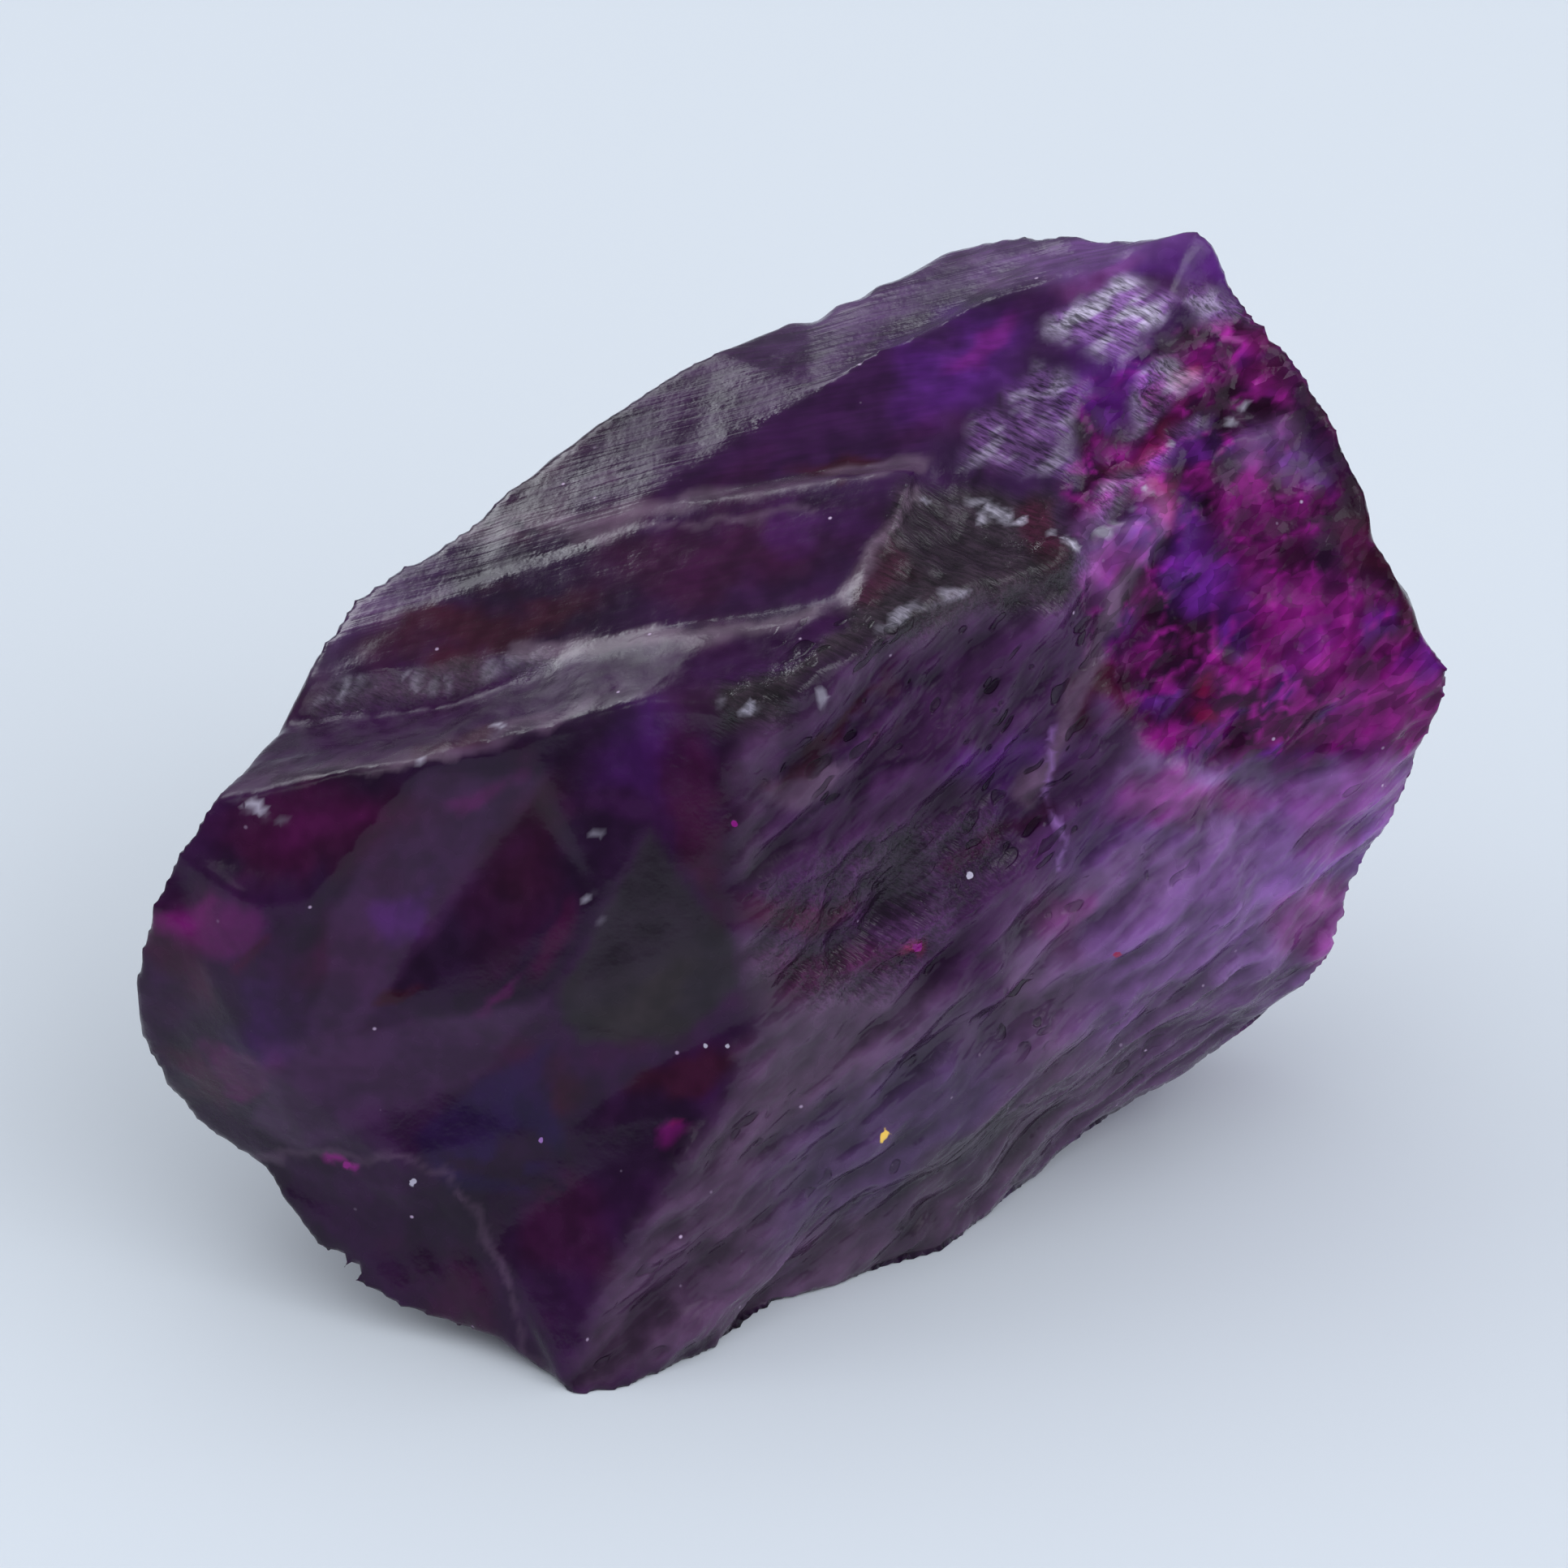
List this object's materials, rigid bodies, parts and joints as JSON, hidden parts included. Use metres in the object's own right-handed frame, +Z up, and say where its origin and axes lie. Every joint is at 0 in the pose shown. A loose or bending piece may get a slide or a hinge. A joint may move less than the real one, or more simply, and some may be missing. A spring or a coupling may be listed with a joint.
{
  "type": "rough sapphire",
  "caption": "Rough purple sapphire: a slanted, glassy, broken crystal with stepped upper facets and a crumbled end, lying on a flat break.",
  "frame": {"origin": "middle of the bounding box at the surface that the stone lies on", "axes": "+Z up from the resting face, +X along the length towards the tall crumbled end, -Y towards the broad glassy faces"},
  "size_m": [0.0488, 0.0334, 0.0346],
  "materials": {
    "purple_corundum": "glassy"
  },
  "bodies": {
    "root": {"stone": "purple_corundum"}
  },
  "joints": []
}
